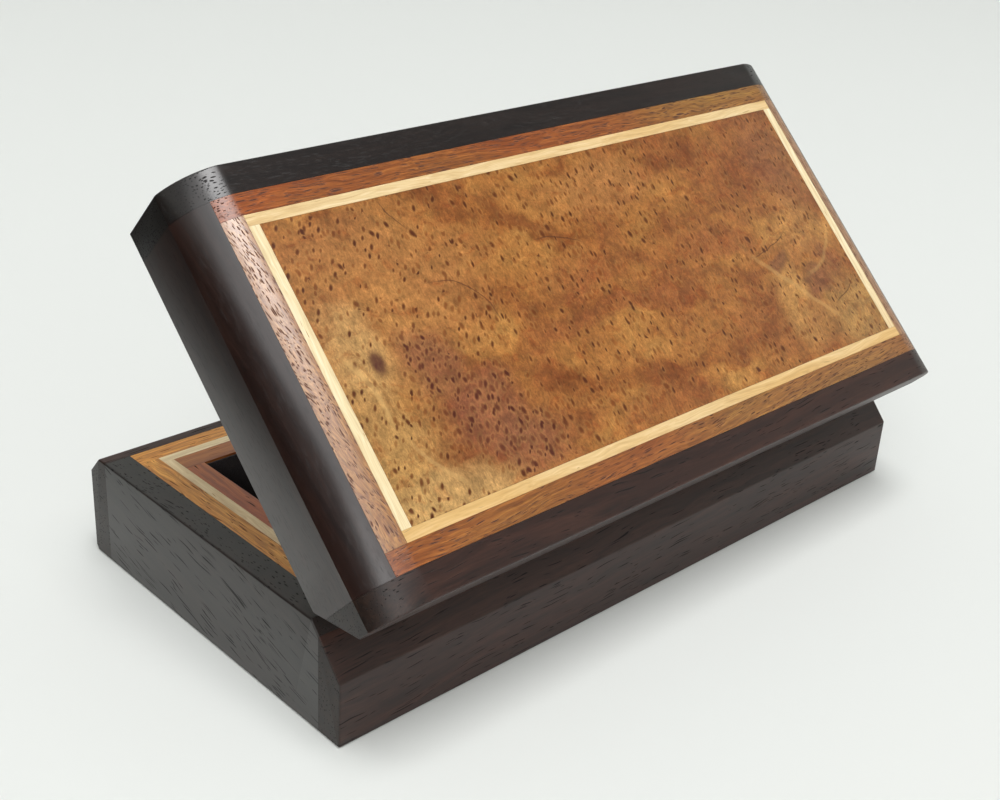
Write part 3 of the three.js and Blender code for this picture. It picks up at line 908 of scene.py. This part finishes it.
# Flock, black: a short nap that drinks the light and greys a little where it is seen edge on. Real
# fibres are about 0.02 mm thick, and the mottle is drawn 0.4 mm wide so that it shows.
flocked, tree = new_material("black_flock")
lie = add(tree, "TexCoord").outputs["Object"]
tuft = 0.0004
fuzz = add(tree, "TexNoise", {"Vector": lie, "Scale": 1 / tuft, "Detail": 3.0})
ramp = add(tree, "ValToRGB", {"Fac": fuzz})
ramp.color_ramp.elements[0].color = colour("#161314")
ramp.color_ramp.elements[1].color = colour("#332d2e")
bump = add(tree, "Bump", {"Distance": 0.0001, "Height": fuzz})
nap = {"Roughness": 1.0, "Specular IOR Level": 0.1, "Sheen Weight": 0.25, "Sheen Roughness": 0.5}
finish = add(tree, "BsdfPrincipled", {"Base Color": ramp, "Normal": bump, **nap})
add(tree, "OutputMaterial", {"Surface": finish})
for node in ("base_floor", "base_front", "base_back", "base_left", "base_right", "lid"):
    slab(node + "_lining", "_flocked", flocked, radius=0.00025)

# ---- Hinges ----
# Two plain brass butt hinges stand in pockets along the back. Their leaves are pressed from sheet and
# rolled round a turned pin, and two slotted brass screws hold each leaf.

# Rolled brass, satin: a warm yellow metal with soft highlights, slightly clouded by handling. The
# marks of rolling are drawn 0.25 mm apart, coarser than real ones, so that they show.
brass, tree = new_material("brass_satin")
lie = add(tree, "TexCoord").outputs["Object"]
mark_length = 0.025
mark_width = 0.00025
marks = (1 / mark_length, 1 / mark_width, 1 / mark_width)
drawn = add(tree, "Mapping", {"Vector": lie, "Scale": marks})
lines = add(tree, "TexNoise", {"Vector": drawn, "Scale": 1.0, "Detail": 2.0})
age = add(tree, "TexNoise", {"Vector": lie, "Scale": 300.0, "Detail": 3.0})
ramp = add(tree, "ValToRGB", {"Fac": age})
ramp.color_ramp.elements[0].position = 0.35
ramp.color_ramp.elements[0].color = colour("#b8934b")
ramp.color_ramp.elements[1].position = 0.65
ramp.color_ramp.elements[1].color = colour("#c4a157")
rough = add(tree, "MapRange", {"Value": lines, "To Min": 0.26, "To Max": 0.36})
bump = add(tree, "Bump", {"Distance": 0.00001, "Height": lines})
metal = {"Base Color": ramp, "Metallic": 1.0, "Roughness": rough, "Normal": bump}
finish = add(tree, "BsdfPrincipled", metal)
add(tree, "OutputMaterial", {"Surface": finish})
for name, node in frame["nodes"].items():
    if name.startswith("hinge"):
        node.data.materials.clear()
        node.data.materials.append(brass)

# ---- Floor, light and camera ----
# The box stands on a round sheet of pale paper that turns up into a wall all round. One soft light
# hangs overhead, and two weaker ones stand off the near corner, high and low, in a pale surround.

# Background paper, matt: even and nearly white, with soft shadows and no gloss of its own.
paper, tree = new_material("backdrop_paper_matt")
finish = add(tree, "BsdfPrincipled", {"Base Color": colour("#e9ebe8"), "Roughness": 0.7})
add(tree, "OutputMaterial", {"Surface": finish})


def staged(name, points, faces, material):
    """A mesh that belongs to the studio and not to the box."""
    mesh = bpy.data.meshes.new(name)
    mesh.from_pydata(points, [], faces)
    mesh.materials.append(material)
    made = bpy.data.objects.new(name, mesh)
    bpy.context.scene.collection.objects.link(made)
    return made


def cove(flat, bend, height, sides=96):
    """A round floor that turns up into a wall all round: the profile, flat out to a radius, up a quarter
    circle, then straight to its height, is turned about the upright axis."""
    hub = 0.001
    below = 0.0002  # clear of the box's foot
    turn = np.linspace(0, math.pi / 2, 24)
    radius = np.concatenate([[hub], flat + bend * np.sin(turn), [flat + bend]])
    up = np.concatenate([[0.0], bend - bend * np.cos(turn), [height]]) - below
    round_it = np.linspace(0, 2 * math.pi, sides, endpoint=False)[:, None]
    grid = np.stack([radius * np.cos(round_it), radius * np.sin(round_it), up + 0 * round_it], -1)
    count = len(radius)
    i = np.arange(sides)[:, None] * count
    k = (np.arange(sides)[:, None] + 1) % sides * count
    j = np.arange(count - 1)
    faces = np.stack([i + j, i + j + 1, k + j + 1, k + j], -1).reshape(-1, 4).tolist()
    return grid.reshape(-1, 3), faces + [(np.arange(sides) * count).tolist()]


floor = staged("cove", *cove(flat=3.2, bend=1.2, height=3.2), paper)
floor.data.shade_smooth()


box_middle = (0, 0, 0.06)


def soft_light(name, place, size, watts):
    """An oblong soft light that faces the middle of the box, with level upper and lower edges."""
    data = bpy.data.lights.new(name, "AREA")
    data.shape = "RECTANGLE"
    data.size, data.size_y = size
    data.energy = watts
    light = bpy.data.objects.new(name, data)
    toward = np.array(box_middle) - np.array(place)
    toward = toward / np.linalg.norm(toward)
    side = np.cross(toward, (0, 0, 1.0))
    side /= np.linalg.norm(side)
    over = np.cross(side, toward)
    turn = Matrix(np.stack([side, over, -toward], 1).tolist()).to_4x4()
    light.matrix_world = Matrix.Translation(place) @ turn
    bpy.context.scene.collection.objects.link(light)


soft_light("overhead", (0.17, 0.93, 4.09), size=(1.7, 2.1), watts=108)
soft_light("near_high", (2.5, 1.77, 3.94), size=(3.0, 3.0), watts=40)
soft_light("near_low", (2.65, 2.25, 2.0), size=(2.0, 2.0), watts=34)

# Black card, matt: it stands off the near end, is seen only in that end's gloss, and darkens it.
card_black, tree = new_material("card_black")
matt = {"Roughness": 1.0, "Specular IOR Level": 0.0}
finish = add(tree, "BsdfPrincipled", {"Base Color": colour("#0a0a0a"), **matt})
add(tree, "OutputMaterial", {"Surface": finish})
card_x = 0.175
corners = [(card_x, -0.4, 0.014), (card_x, 0.1, 0.014), (card_x, 0.1, 0.15), (card_x, -0.4, 0.15)]
card = staged("dark_card", corners, [(0, 1, 2, 3)], card_black)
card.visible_camera = False
card.visible_shadow = False
card.visible_diffuse = False

world = bpy.data.worlds.new("surround")
world.use_nodes = True
surround = world.node_tree.nodes["Background"].inputs
surround["Color"].default_value = colour("#eef1f0")
surround["Strength"].default_value = 0.2
bpy.context.scene.world = world
bpy.context.scene.view_settings.view_transform = "Standard"

# The camera's place, the way it looks, and the way that is down in its frame.
camera_place = (0.2994, 0.2941, 0.24383)
forward = np.array([-0.63016, -0.64029, -0.43923])
down = np.array([0.26490, 0.35446, -0.89676])
right = np.cross(down, forward)
camera = bpy.data.cameras.new("camera")
camera.sensor_width = 36.0
camera.lens = 52.8
camera.clip_start = 0.01
view_from = bpy.data.objects.new("camera", camera)
turn = Matrix(np.stack([right, -down, -forward], 1).tolist()).to_4x4()
view_from.matrix_world = Matrix.Translation(camera_place) @ turn
bpy.context.scene.collection.objects.link(view_from)
bpy.context.scene.camera = view_from
